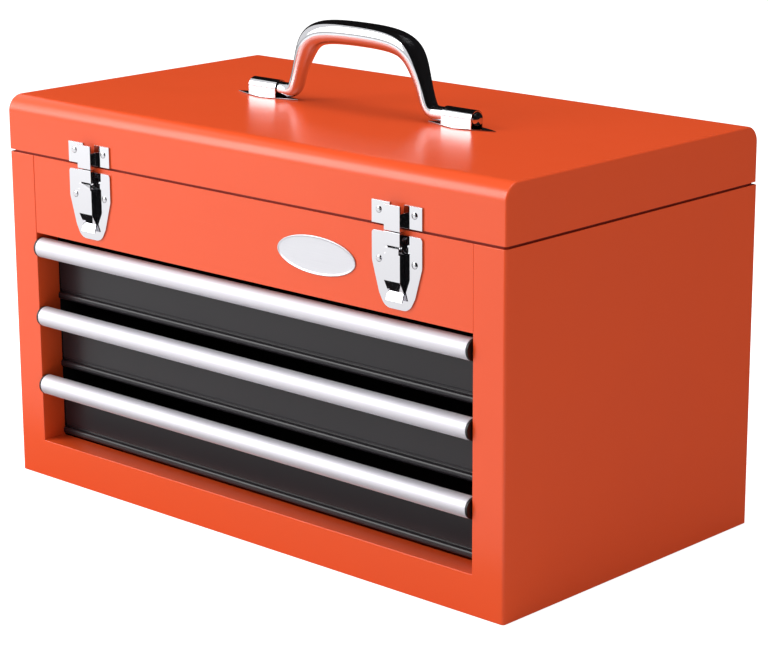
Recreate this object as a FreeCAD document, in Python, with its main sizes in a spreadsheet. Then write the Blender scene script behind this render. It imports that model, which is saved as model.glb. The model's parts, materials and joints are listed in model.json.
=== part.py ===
"""Portable steel tool box: hinged lid over a top tray, three drawers below.

Frame: millimetres, +Z up, +X along the width, the front faces -Y.
The origin is the middle of the underside of the case.
"""
import FreeCAD, Part
import Sketcher
import math
import os
import re

doc = FreeCAD.newDocument("tool_box")
sheet = doc.addObject("Spreadsheet::Sheet", "sizes")

SIZES = (
    # Case
    ("case_width", 520.0),
    ("case_depth", 288.0),
    ("seam_height", 267.0),
    ("wall", 1.0),
    ("bend", 2.5),
    ("post_width", 29.0),
    ("sill_height", 30.5),
    ("rail_height", 62.5),
    ("rail_joint", 0.6),
    ("jamb_depth", 22.0),
    ("panel_fit", 0.4),
    # Rim lip that guides the lid
    ("lip_seat_drop", 11.0),
    ("lip_joggle_drop", 4.0),
    ("lip_rise", 7.0),
    ("lip_inset", 1.5),
    ("lip_back_gap", 3.0),
    # Lid
    ("seam_gap", 2.0),
    ("lid_rise", 43.0),
    ("lid_bend", 13.0),
    # Piano hinge
    ("hinge_inset", 26.0),
    ("hinge_leaf", 16.0),
    ("leaf_wall", 1.0),
    ("knuckle_radius", 3.0),
    ("knuckle_gap", 0.4),
    ("hinge_pin_radius", 1.2),
    ("hinge_stand", 0.2),
    # Running clearance of every pin in its hole, on the radius
    ("pin_play", 0.05),
    # Rivets
    ("rivet_shank", 1.5),
    ("rivet_head", 2.6),
    ("rivet_rise", 1.1),
    # Drawers
    ("drawer_foot_gap", 1.5),
    ("rail_gap", 1.5),
    ("front_wall", 1.6),
    ("front_side_gap", 1.0),
    ("nose_gap", 3.0),
    ("lip_height", 6.0),
    ("lip_reach", 2.6),
    ("groove_height", 2.4),
    ("groove_depth", 0.8),
    ("box_side_gap", 16.0),
    ("box_back_gap", 24.0),
    ("box_floor_rise", 2.0),
    ("box_top_gap", 6.0),
    ("box_wall", 0.8),
    # Aluminium pulls
    ("nose_radius", 8.0),
    ("nose_wall", 1.5),
    ("nose_overhang", 4.4),
    ("nose_back", 9.6),
    ("grip_rib", 1.5),
    ("grip_rib_front", 1.0),
    ("cap_thick", 2.0),
    # Slides
    ("channel_rise", 12.4),
    ("channel_height", 17.2),
    ("channel_reach", 12.0),
    ("runner_play", 0.4),
    ("runner_reach", 9.0),
    ("runner_wall", 1.2),
    ("channel_back_gap", 9.0),
    # Handle
    ("handle_forward", 9.0),
    ("bar_radius", 5.5),
    ("leg_radius", 6.4),
    ("grip_radius", 9.4),
    ("bar_rise", 7.6),
    ("saddle_from", 87.0),
    ("saddle_length", 30.0),
    ("saddle_wall", 1.2),
    ("bar_overhang", 3.5),
    ("plate_length", 67.0),
    ("plate_width", 19.0),
    ("plate_wall", 1.2),
    ("bail_bend_start", 82.0),
    ("bail_height", 51.3),
    # Latches
    ("latch_inset", 98.0),
    ("latch_wall", 1.2),
    ("latch_half", 23.7),
    ("keeper_seam_gap", 1.6),
    ("keeper_height", 16.4),
    ("hump_half", 7.5),
    ("hump_out", 6.3),
    ("hump_wall", 1.0),
    ("hump_gap", 0.8),
    ("hump_shoulder", 0.4),
    ("cheek_drop", 5.6),
    ("tongue_half", 4.0),
    ("tongue_gap", 1.6),
    ("tongue_out", 3.2),
    ("tongue_wall", 0.8),
    ("nib_out", 3.9),
    ("nib_drop", 0.4),
    ("nib_height", 1.5),
    ("base_seam_gap", 3.5),
    ("base_straight", 21.5),
    ("base_height", 54.0),
    ("base_foot_half", 11.5),
    ("base_waist_half", 17.0),
    ("base_toe", 10.0),
    ("base_corner", 2.4),
    ("pivot_drop", 9.0),
    ("pivot_out", 3.0),
    ("link_length", 6.0),
    ("latch_pin", 0.9),
    ("eye_radius", 1.7),
    ("ear_inner", 4.4),
    ("ear_wall", 1.0),
    ("arm_wall", 0.7),
    ("arm_gap", 0.2),
    ("hook_height", 4.0),
    ("claw_rise", 3.6),
    ("claw_skirt", 2.1),
    ("claw_lip", 1.0),
    ("lever_rise", 2.2),
    ("lever_drop", 2.2),
    ("lever_straight", 19.3),
    ("lever_slope", 8.0),
    ("lever_waist_out", 2.5),
    ("lever_tab", 6.5),
    ("lever_tip_out", 4.6),
    ("flange_gap", 0.5),
    ("arm_foot", 9.8),
    ("keeper_rivet_rise", 10.0),
    ("base_rivet_drop", 19.9),
    ("latch_rivet_half", 16.8),
    # Badge
    ("badge_latch_gap", 79.0),
    ("badge_drop", 31.5),
    ("badge_half_width", 39.0),
    ("badge_half_height", 14.2),
    ("badge_wall", 1.0),
    # Lid stays
    ("stay_radius", 42.0),
    ("stay_half", 5.5),
    ("stay_wall", 1.5),
    ("stay_inset", 3.5),
    ("stud_radius", 2.0),
    ("stud_head", 4.0),
    ("stud_head_wall", 1.0),
    ("stay_play", 0.2),
    # Angles, in degrees, of the stay's two pivots about the hinge, and of the open lid
    ("stay_lid_angle", 135.0),
    ("stay_case_angle", 190.0),
    ("lid_open_angle", 95.0),
    # One overrun for all cuts
    ("overrun", 3.0),
)

for row, (alias, value) in enumerate(SIZES, start=1):
    sheet.set("A%d" % row, alias)
    sheet.set("B%d" % row, str(value))
    sheet.setAlias("B%d" % row, alias)
doc.recompute()

WORDS = re.compile(r"(?<![A-Za-z0-9_])([a-z][a-z0-9_]*)(?![A-Za-z0-9_(])")


def bound(text):
    """Turn a formula in plain cell names into one that the document understands."""
    return WORDS.sub(r"sizes.\1", text)


def size(text):
    """Give the present value of a formula in cell names."""
    return float(sheet.evalExpression(bound(text)))


LEVELS = ("bottom", "middle", "top")

# Places that several pieces share, as formulas in cell names
SIDE = "case_width/2"
FRONT = "(-case_depth/2)"
BACK = "case_depth/2"
OPENING = "(case_width/2 - post_width)"
LID_LOW = "(seam_height + seam_gap)"
LID_TOP = "(seam_height + seam_gap + lid_rise)"
HINGE_Y = "(case_depth/2 + hinge_stand + knuckle_radius)"
HINGE_Z = "(seam_height + seam_gap/2)"
FACE = "(-case_depth/2 + jamb_depth)"
NOSE_Y = "(-case_depth/2 - nose_overhang + nose_radius)"
BAR_Z = "(seam_height + seam_gap + lid_rise + bar_rise)"

STUD_Y = "(%s + stay_radius*cos(stay_case_angle))" % HINGE_Y
STUD_Z = "(%s + stay_radius*sin(stay_case_angle))" % HINGE_Z
LEAF_RIVET = "(seam_height + seam_gap + hinge_leaf - rivet_head - wall)"
RAIL_LOW = "(seam_height - rail_height)"
HINGE_LENGTH = "(case_width - 2*hinge_inset)"
DRAWER_LOW = "(sill_height + drawer_foot_gap)"
DRAWER_PITCH = "((%s - rail_gap - %s)/%d)" % (RAIL_LOW, DRAWER_LOW, len(LEVELS))
FLANGE_RISE = "(%s - nose_radius - nose_gap)" % DRAWER_PITCH
BOX_HALF = "(%s - box_side_gap)" % OPENING
BOX_BACK = "(%s - box_back_gap)" % BACK
BOX_HEIGHT = "(%s - box_top_gap)" % FLANGE_RISE
LATCH_X = "(case_width/2 - latch_inset)"
KEEPER_LOW = "(seam_height + keeper_seam_gap)"
KEEPER_HIGH = "(%s + keeper_height)" % KEEPER_LOW
HUMP_HIGH = "(%s - hump_shoulder)" % KEEPER_HIGH
KEEPER_RIVET = "(%s + keeper_rivet_rise)" % KEEPER_LOW
PIVOT = "(seam_height - pivot_drop)"
LINK = "(%s - link_length)" % PIVOT
TONGUE_LOW = "(%s + tongue_gap)" % PIVOT
NIB_LOW = "(%s + nib_drop)" % TONGUE_LOW
NIB_HIGH = "(%s + nib_height)" % NIB_LOW
CLAW_TOP = "(%s + hook_height)" % NIB_HIGH
CLAW_LOW = "(%s + claw_rise)" % LINK
HUMP_LOW = "(%s + hump_gap)" % CLAW_TOP
LEVER_TOP = "(%s + lever_rise)" % LINK
LEVER_SHOULDER = "(%s - lever_drop)" % LINK
LEVER_CORNER = "(%s - lever_straight)" % LEVER_SHOULDER
LEVER_WAIST = "(%s - lever_slope)" % LEVER_CORNER
LEVER_TIP = "(%s - lever_tab)" % LEVER_WAIST
FLANGE_TOP = "(%s - flange_gap)" % LEVER_SHOULDER
ARM_LOW = "(%s - arm_foot)" % LEVER_SHOULDER
BASE_HIGH = "(seam_height - base_seam_gap)"
BASE_SHOULDER = "(%s - base_straight)" % BASE_HIGH
BASE_LOW = "(%s - base_height)" % BASE_HIGH
BASE_WAIST = "(%s + base_toe)" % BASE_LOW
BASE_RIVET = "(%s - base_rivet_drop)" % BASE_HIGH

HINGE_RIVETS = 5
KNUCKLES = 9
BAIL_SECTIONS = 36
# The share of the hinge's length that its rows of rivets span
RIVET_ROW_SHARE = 0.9
# The share of a rivet head's rise that its rounded rim takes
DOME_SHARE = 0.8
# The share of a drawer lip's reach in its round, and of the latch foot's half width in its toe
LIP_ROUND_SHARE = 0.9
TOE_ROUND_SHARE = 0.83
# The share of the bail bar's radius in its rounded end
KNOB_SHARE = 0.8
# Outline of a saddle's pointed plate, in shares of its half length and half width
LENS_SHARES = ((0.0, 1.0), (0.5, 0.62), (1.0, 0.0))
# The bail's bar thickens between these shares of its length from foot to crown
SWELL_START_SHARE = 0.2
SWELL_END_SHARE = 0.55
# Poles of the bail's centre line, in shares of its half length and of its height
BAIL_POLE_SHARES = ((1.0, 0.0), (0.95, 0.0), (0.86, 0.0), (0.81, 0.28), (0.72, 0.66), (0.6, 0.96),
                    (0.28, 1.0), (0.0, 1.0))
# The share of the line over which the bar reaches the leg's radius
LEG_SHARE = 0.15

PLANES = {"XY": "XY_Plane", "XZ": "XZ_Plane", "YZ": "YZ_Plane"}
parts = {}


def keep(name, thing):
    """File a finished sub-part under the name of its node."""
    thing.Label = name
    parts[name] = thing
    return thing


def box(name, x, y, z):
    """A block between two formulas on each axis."""
    thing = doc.addObject("Part::Box", name)
    for side, axis, (low, high) in zip(("Length", "Width", "Height"), "xyz", (x, y, z)):
        thing.setExpression(side, bound("(%s) - (%s)" % (high, low)))
        thing.setExpression("Placement.Base." + axis, bound(low))
    return thing


def rod(name, axis, start, end, across, radius):
    """A cylinder along X, Y or Z from start to end; across holds its two other places."""
    thing = doc.addObject("Part::Cylinder", name)
    thing.setExpression("Radius", bound(radius))
    thing.setExpression("Height", bound("(%s) - (%s)" % (end, start)))
    # A cylinder stands along Z until it is turned
    turns = {"X": FreeCAD.Rotation(FreeCAD.Vector(0, 1, 0), 90),
             "Y": FreeCAD.Rotation(FreeCAD.Vector(1, 0, 0), -90),
             "Z": FreeCAD.Rotation()}
    thing.Placement = FreeCAD.Placement(FreeCAD.Vector(), turns[axis])
    others = [letter for letter in "XYZ" if letter != axis]
    thing.setExpression("Placement.Base." + axis.lower(), bound(start))
    for letter, place in zip(others, across):
        thing.setExpression("Placement.Base." + letter.lower(), bound(place))
    return thing


def prism(name, plane, corners, low, high, rounds=()):
    """A body: one sketch of straight lines, padded from low to high, with rounded corners.

    Each corner is two formulas, and rounds pairs the number of a corner with a radius.
    On the XZ plane low and high are places along Y.
    """
    body = doc.addObject("PartDesign::Body", name)
    sketch = body.newObject("Sketcher::SketchObject", name + "_sketch")
    roles = {feature.Role: feature for feature in body.Origin.OriginFeatures}
    sketch.AttachmentSupport = (roles[PLANES[plane]], [""])
    sketch.MapMode = "FlatFace"
    lift = "-(%s)" % high if plane == "XZ" else low
    sketch.setExpression("AttachmentOffset.Base.z", bound(lift))
    spots = [FreeCAD.Vector(size(u), size(v), 0) for u, v in corners]
    count = len(spots)
    for number in range(count):
        sketch.addGeometry(Part.LineSegment(spots[number], spots[(number + 1) % count]), False)
    for number in range(count):
        sketch.addConstraint(_join(number, (number + 1) % count))
    for number, (u, v) in enumerate(corners):
        _pin_corner(sketch, number, "DistanceX", spots[number].x, u)
        _pin_corner(sketch, number, "DistanceY", spots[number].y, v)
    pad = body.newObject("PartDesign::Pad", name + "_pad")
    pad.Profile = sketch
    pad.setExpression("Length", bound("(%s) - (%s)" % (high, low)))
    doc.recompute()
    tip = pad
    for step, (numbers, radius) in enumerate(rounds):
        edges = _edges_at(tip.Shape, plane, [spots[number] for number in numbers])
        fillet = body.newObject("PartDesign::Fillet", "%s_round_%d" % (name, step))
        fillet.Base = (tip, edges)
        fillet.setExpression("Radius", bound(radius))
        doc.recompute()
        tip = fillet
    body.Tip = tip
    return body


def _join(first, second):
    return Sketcher.Constraint("Coincident", first, 2, second, 1)


def _pin_corner(sketch, number, kind, value, formula):
    place = sketch.addConstraint(Sketcher.Constraint(kind, number, 1, value))
    sketch.setExpression("Constraints[%d]" % place, bound(formula))


def _edges_at(shape, plane, spots):
    """Names of the straight edges that run square to the sketch through the given spots."""
    spans = {"XY": (0, 1, 2), "XZ": (0, 2, 1), "YZ": (1, 2, 0)}
    first, second, along = spans[plane]
    near = size("pin_play")
    names = []
    for number, edge in enumerate(shape.Edges, start=1):
        ends = [vertex.Point for vertex in edge.Vertexes]
        if len(ends) != 2 or abs(ends[0][along] - ends[1][along]) < near:
            continue
        for spot in spots:
            if all(abs(end[first] - spot.x) < near and abs(end[second] - spot.y) < near for end in ends):
                names.append("Edge%d" % number)
    return names


def fuse(name, *things):
    """One solid from several that overlap or meet."""
    joined = doc.addObject("Part::MultiFuse", name)
    joined.Shapes = list(things)
    joined.Refine = True
    return joined


def cut(name, base, *tools):
    """The base with every tool taken out of it."""
    tool = tools[0] if len(tools) == 1 else fuse(name + "_tools", *tools)
    piece = doc.addObject("Part::Cut", name)
    piece.Base = base
    piece.Tool = tool
    return piece


def common(name, first, second):
    """What two solids share."""
    piece = doc.addObject("Part::Common", name)
    piece.Base = first
    piece.Tool = second
    return piece


def group(name, *things):
    """Separate solids in one node."""
    bundle = doc.addObject("Part::Compound", name)
    bundle.Links = list(things)
    return bundle


def solid(name, shape):
    """A shape that neither a body nor a primitive fits."""
    thing = doc.addObject("Part::Feature", name)
    thing.Shape = shape
    thing.Placement = FreeCAD.Placement()
    return thing


def rivet(name, x, y, z, grip, inward):
    """A rivet through sheets of total thickness grip: a domed head outside, a flat tail inside.

    y is the outer face of the sheets; inward is "+" where the inside lies towards +Y.
    """
    other = "-" if inward == "+" else "+"
    head_ends = ("%s - rivet_rise" % y, y) if inward == "+" else (y, "%s + rivet_rise" % y)
    tail = "(%s %s (%s))" % (y, inward, grip)
    tail_ends = (tail, "%s + rivet_rise/2" % tail) if inward == "+" else ("%s - rivet_rise/2" % tail, tail)
    shank_ends = (y, tail) if inward == "+" else (tail, y)
    head = rod(name + "_head", "Y", head_ends[0], head_ends[1], (x, z), "rivet_head")
    shank = rod(name + "_shank", "Y", shank_ends[0], shank_ends[1], (x, z), "rivet_shank")
    foot = rod(name + "_tail", "Y", tail_ends[0], tail_ends[1], (x, z), "rivet_head")
    whole = fuse(name + "_blank", head, shank, foot)
    doc.recompute()
    crown = size("(%s) %s rivet_rise" % (y, other))
    rim = [number for number, edge in enumerate(whole.Shape.Edges, start=1)
           if isinstance(edge.Curve, Part.Circle) and abs(edge.Curve.Center.y - crown) < size("pin_play")]
    dome = doc.addObject("Part::Fillet", name)
    dome.Base = whole
    radius = size("rivet_rise") * DOME_SHARE
    dome.Edges = [(number, radius, radius) for number in rim]
    return dome


def hole(name, x, z, y):
    """A round cut along Y for a rivet, from the first place to the second."""
    return rod(name, "Y", y[0], y[1], (x, z), "rivet_shank + pin_play")


def latch_rivet_places():
    """Where the rivets of both latches stand along X, as formulas."""
    return ["%s%s %s latch_rivet_half" % (side, LATCH_X, hand) for side in ("-", "") for hand in "-+"]


def make_case():
    """Folded shell, panels, tray floor and the lip under the lid."""
    wrap = prism("case_wrap", "XY", (
        ("-" + SIDE, FRONT), (SIDE, FRONT), (SIDE, BACK), (SIDE + " - wall", BACK),
        (SIDE + " - wall", FRONT + " + wall"), ("-%s + wall" % SIDE, FRONT + " + wall"),
        ("-%s + wall" % SIDE, BACK), ("-" + SIDE, BACK)),
        "0", "seam_height", (((0, 1), "bend"), ((4, 5), "bend - wall")))
    window = box("case_window", ("-" + OPENING, OPENING), (FRONT + " - overrun", FRONT + " + wall + overrun"),
                 ("sill_height", "seam_height + overrun"))
    jambs = [box("jamb_%d" % number, x, (FRONT, FACE), ("sill_height - wall", z))
             for number, (x, z) in enumerate((
                 (("-%s - wall" % OPENING, "-" + OPENING), RAIL_LOW + " + wall"),
                 ((OPENING, OPENING + " + wall"), RAIL_LOW + " + wall"),
                 (("-" + OPENING, OPENING), "sill_height")))]
    keep("case_shell", fuse("case_shell", cut("case_opened", wrap, window), *jambs))

    inside = ("-%s + wall + panel_fit" % SIDE, SIDE + " - wall - panel_fit")
    keep("bottom_pan", box("bottom_pan", inside, (FRONT + " + wall + panel_fit", BACK + " - wall"),
                           ("0", "wall")))
    keep("tray_floor", box("tray_floor", inside, (FRONT + " + wall + panel_fit", BACK + " - wall"),
                           (RAIL_LOW + " + wall", RAIL_LOW + " + 2*wall")))
    rivets = hinge_places("seam_height - hinge_leaf + rivet_head + wall")
    holes = [hole("back_hole_%d" % number, x, z, (BACK + " - wall - overrun", BACK + " + overrun"))
             for number, (x, z) in enumerate(rivets)]
    back = box("back_blank", ("-%s + wall" % SIDE, SIDE + " - wall"), (BACK + " - wall", BACK),
               ("0", "seam_height"))
    keep("back_panel", cut("back_panel", back, *holes))

    rail = prism("rail_blank", "YZ", (
        (FRONT, RAIL_LOW), (FACE, RAIL_LOW), (FACE, RAIL_LOW + " + wall"),
        (FRONT + " + wall", RAIL_LOW + " + wall"), (FRONT + " + wall", "seam_height"),
        (FRONT, "seam_height")),
        "-%s + rail_joint" % OPENING, OPENING)
    holes = [hole("rail_hole_%d" % number, x, BASE_RIVET, (FRONT + " - overrun", FRONT + " + wall + overrun"))
             for number, x in enumerate(latch_rivet_places())]
    keep("front_rail", cut("front_rail", rail, *holes))

    def lip(name, inset, thick, low, high):
        out, inner = "wall + " + inset, "wall + %s + %s" % (inset, thick)
        back = BACK + " - lip_back_gap"
        return prism(name, "XY", (
            ("-%s + %s" % (SIDE, out), "%s + %s" % (FRONT, out)),
            ("%s - (%s)" % (SIDE, out), "%s + %s" % (FRONT, out)),
            ("%s - (%s)" % (SIDE, out), back), ("%s - (%s)" % (SIDE, inner), back),
            ("%s - (%s)" % (SIDE, inner), "%s + %s" % (FRONT, inner)),
            ("-%s + %s" % (SIDE, inner), "%s + %s" % (FRONT, inner)),
            ("-%s + %s" % (SIDE, inner), back), ("-%s + %s" % (SIDE, out), back)),
            low, high, (((0, 1), "bend"),))
    joggle = "seam_height - lip_joggle_drop"
    rings = [lip("lip_seat", "0", "wall", "seam_height - lip_seat_drop", joggle),
             lip("lip_web", "0", "wall + lip_inset", joggle + " - wall", joggle),
             lip("lip_guide", "lip_inset", "wall", joggle + " - wall", "seam_height + lip_rise")]
    passage = rod("lip_stud_holes", "X", "-" + SIDE, SIDE, (STUD_Y, STUD_Z), "stud_radius + pin_play")
    keep("rim_lip", cut("rim_lip", fuse("rim_lip_blank", *rings), passage))

    for hand, sign in (("left", "-"), ("right", "")):
        span = (OPENING, OPENING + " + wall") if not sign else ("-%s - wall" % OPENING, "-" + OPENING)
        keep("slide_panel_" + hand, box("slide_panel_" + hand, span, (FACE, BACK + " - wall"),
                                        ("wall", RAIL_LOW + " + wall")))


def hinge_places(height):
    """Centres of a row of hinge rivets, as formulas."""
    steps = [number / (HINGE_RIVETS - 1) - 0.5 for number in range(HINGE_RIVETS)]
    return [(HINGE_LENGTH + "*%s*(%s)" % (RIVET_ROW_SHARE, step), height) for step in steps]


def make_lid():
    """Bent lid shell with a flat panel set in each end."""
    blank = prism("lid_blank", "YZ", (
        (FRONT, LID_LOW), (FRONT, LID_TOP), (BACK, LID_TOP), (BACK, LID_LOW),
        (BACK + " - wall", LID_LOW), (BACK + " - wall", LID_TOP + " - wall"),
        (FRONT + " + wall", LID_TOP + " - wall"), (FRONT + " + wall", LID_LOW)),
        "-" + SIDE, SIDE, (((1, 2), "lid_bend"), ((5, 6), "lid_bend - wall")))
    holes = [hole("lid_back_hole_%d" % number, x, z, (BACK + " - wall - overrun", BACK + " + overrun"))
             for number, (x, z) in enumerate(hinge_places(LEAF_RIVET))]
    holes += [hole("lid_front_hole_%d" % number, x, KEEPER_RIVET,
                   (FRONT + " - overrun", FRONT + " + wall + overrun"))
              for number, x in enumerate(latch_rivet_places())]
    keep("lid_shell", cut("lid_shell", blank, *holes))
    for hand, span in (("left", ("-" + SIDE, "-%s + wall" % SIDE)), ("right", (SIDE + " - wall", SIDE))):
        name = "lid_end_" + hand
        keep(name, prism(name, "YZ", (
            (FRONT + " + wall", LID_LOW), (BACK + " - wall", LID_LOW),
            (BACK + " - wall", LID_TOP + " - wall"), (FRONT + " + wall", LID_TOP + " - wall")),
            span[0], span[1], (((2, 3), "lid_bend - wall"),)))


def make_hinge():
    """Piano hinge: two leaves with knuckles in turn along one pin, and a row of rivets in each."""
    for leaf, first, down in (("case", 0, True), ("lid", 1, False)):
        edge = "%s %s (knuckle_radius + knuckle_gap)" % (HINGE_Z, "-" if down else "+")
        far = "seam_height - hinge_leaf" if down else "seam_height + seam_gap + hinge_leaf"
        height = (far, edge) if down else (edge, far)
        thickness = (BACK, BACK + " + leaf_wall")
        pieces = [box("leaf_%s_plate" % leaf, ("-" + HINGE_LENGTH + "/2", HINGE_LENGTH + "/2"),
                      thickness, height)]
        for number in range(first, KNUCKLES, 2):
            start = HINGE_LENGTH + "*(%d/%d - 0.5) + knuckle_gap/2" % (number, KNUCKLES)
            end = HINGE_LENGTH + "*(%d/%d - 0.5) - knuckle_gap/2" % (number + 1, KNUCKLES)
            web = (edge, HINGE_Z) if down else (HINGE_Z, edge)
            pieces.append(box("leaf_%s_web_%d" % (leaf, number), (start, end), thickness, web))
            pieces.append(rod("leaf_%s_knuckle_%d" % (leaf, number), "X", start, end, (HINGE_Y, HINGE_Z),
                              "knuckle_radius"))
        row = hinge_places("seam_height - hinge_leaf + rivet_head + wall" if down
                           else "seam_height + seam_gap + hinge_leaf - rivet_head - wall")
        tools = [rod("leaf_%s_bore" % leaf, "X", "-" + HINGE_LENGTH + "/2 - overrun",
                     HINGE_LENGTH + "/2 + overrun",
                     (HINGE_Y, HINGE_Z), "hinge_pin_radius + pin_play")]
        tools += [hole("leaf_%s_hole_%d" % (leaf, number), x, z,
                       (BACK + " - overrun", BACK + " + leaf_wall + overrun"))
                  for number, (x, z) in enumerate(row)]
        keep("hinge_leaf_" + leaf, cut("hinge_leaf_" + leaf, fuse("leaf_%s_blank" % leaf, *pieces), *tools))
        keep("hinge_rivets_" + leaf, group("hinge_rivets_" + leaf, *[
            rivet("hinge_rivet_%s_%d" % (leaf, number), x, "(%s + leaf_wall)" % BACK, z,
                  "wall + leaf_wall", "-")
            for number, (x, z) in enumerate(row)]))
    keep("hinge_pin", rod("hinge_pin", "X", "-" + HINGE_LENGTH + "/2", HINGE_LENGTH + "/2",
                          (HINGE_Y, HINGE_Z),
                          "hinge_pin_radius"))


def make_drawer(level, step):
    """One drawer: box, front with flange and rolled lip, aluminium pull, end caps, runners, channels."""
    low = "(%s + %d*%s)" % (DRAWER_LOW, step, DRAWER_PITCH)
    bar = "(%s + %s)" % (low, FLANGE_RISE)
    half = "(%s - front_side_gap)" % OPENING
    behind = "(%s + front_wall)" % FACE
    name = "drawer_front_" + level
    keep(name, prism(name, "YZ", (
        (behind, low), (behind, bar + " + box_wall/2"), (NOSE_Y, bar + " + box_wall/2"),
        (NOSE_Y, bar + " - box_wall/2"), (FACE, bar + " - box_wall/2"),
        (FACE, low + " + lip_height + groove_height"),
        (FACE + " + groove_depth", low + " + lip_height + groove_height"),
        (FACE + " + groove_depth", low + " + lip_height"), (FACE + " - lip_reach", low + " + lip_height"),
        (FACE + " - lip_reach", low)),
        "-" + half, half, (((8, 9), "lip_reach*%s" % LIP_ROUND_SHARE),)))

    outer = box("box_outer_" + level, ("-" + BOX_HALF, BOX_HALF), (behind, BOX_BACK),
                (low + " + box_floor_rise", low + " + box_floor_rise + " + BOX_HEIGHT))
    hollow = box("box_hollow_" + level, ("-" + BOX_HALF + " + box_wall", BOX_HALF + " - box_wall"),
                 (behind + " + box_wall", BOX_BACK + " - box_wall"),
                 (low + " + box_floor_rise + box_wall",
                  low + " + box_floor_rise + " + BOX_HEIGHT + " + overrun"))
    keep("drawer_box_" + level, cut("drawer_box_" + level, outer, hollow))

    nose = "(%s - nose_overhang + nose_radius)" % FRONT
    bar_half = "(%s - cap_thick)" % half
    length = ("-" + bar_half, bar_half)
    skin = rod("nose_skin_" + level, "X", length[0], length[1], (nose, bar), "nose_radius")
    long = ("%s - overrun" % length[0], "%s + overrun" % length[1])
    bore = rod("nose_bore_" + level, "X", long[0], long[1], (nose, bar), "nose_radius - nose_wall")
    back = (FRONT + " + nose_back", FRONT + " + nose_back + nose_radius")
    mouth = box("nose_mouth_" + level, long, back, (bar + " - nose_radius", bar + " + nose_radius"))
    ribs = [box("nose_rib_%s_%d" % (level, number), length, (nose + " - nose_radius + grip_rib_front",
                                                            FRONT + " + nose_back"), height)
            for number, height in enumerate(((bar + " + box_wall/2", bar + " + box_wall/2 + grip_rib"),
                                             (bar + " - box_wall/2 - grip_rib", bar + " - box_wall/2")))]
    keep("drawer_pull_" + level, fuse("drawer_pull_" + level,
                                      cut("nose_shell_" + level, skin, bore, mouth), *ribs))

    caps = []
    for hand, ends in (("left", ("-" + half, "-" + bar_half)), ("right", (bar_half, half))):
        disc = rod("cap_disc_%s_%s" % (level, hand), "X", ends[0], ends[1], (nose, bar), "nose_radius")
        trim = box("cap_trim_%s_%s" % (level, hand),
                   ("%s - overrun" % ends[0], "%s + overrun" % ends[1]), back,
                   (bar + " - nose_radius", bar + " + nose_radius"))
        seat = box("cap_seat_%s_%s" % (level, hand), ("%s - overrun" % ends[0], "%s + overrun" % ends[1]),
                   (NOSE_Y, back[1]), (bar + " - box_wall/2", bar + " + box_wall/2"))
        caps.append(cut("cap_%s_%s" % (level, hand), disc, trim, seat))
    keep("pull_caps_" + level, group("pull_caps_" + level, *caps))

    runners, channels = [], []
    rise = "(%s + channel_rise)" % low
    for hand, sign in (("left", -1), ("right", 1)):
        def beside(near, far):
            return (near, far) if sign > 0 else ("-(%s)" % far, "-(%s)" % near)
        label = "_%s_%s" % (level, hand)
        run = (behind + " + box_wall", BOX_BACK + " - box_wall")
        bar_z = (rise + " + wall + runner_play", rise + " + channel_height - wall - runner_play")
        solid_bar = box("runner_bar" + label, beside(BOX_HALF, BOX_HALF + " + runner_reach"), run, bar_z)
        trough = box("runner_trough" + label, beside(BOX_HALF + " + runner_wall",
                                                     BOX_HALF + " + runner_reach + overrun"),
                     (run[0] + " - overrun", run[1] + " + overrun"),
                     (bar_z[0] + " + runner_wall", bar_z[1] + " - runner_wall"))
        runners.append(cut("runner" + label, solid_bar, trough))
        rail = (behind, BACK + " - channel_back_gap")
        full = box("channel_bar" + label, beside(OPENING + " - channel_reach", OPENING), rail,
                   (rise, rise + " + channel_height"))
        trough = box("channel_trough" + label,
                     beside(OPENING + " - channel_reach - overrun", OPENING + " - wall"),
                     (rail[0] + " - overrun", rail[1] + " + overrun"),
                     (rise + " + wall", rise + " + channel_height - wall"))
        channels.append(cut("channel" + label, full, trough))
    keep("drawer_runners_" + level, group("drawer_runners_" + level, *runners))
    keep("slide_channels_" + level, group("slide_channels_" + level, *channels))


def bail_line():
    """The bail's centre line from the right foot to the crown, as a spline in the XZ plane.

    It leaves the straight bar end, climbs the leaning leg and turns over into the level crown.
    """
    axis = size(BAR_Z)
    half, height = size("bail_bend_start"), size("bail_height")
    line = Part.BSplineCurve()
    poles = [FreeCAD.Vector(half * along, -size("handle_forward"), axis + height * rise)
             for along, rise in BAIL_POLE_SHARES]
    line.buildFromPoles(poles, False, 3)
    return line


def ease(share):
    """A smooth step from 0 to 1: three squares less two cubes."""
    share = min(1.0, max(0.0, share))
    return share * share * (3 - 2 * share)


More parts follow.
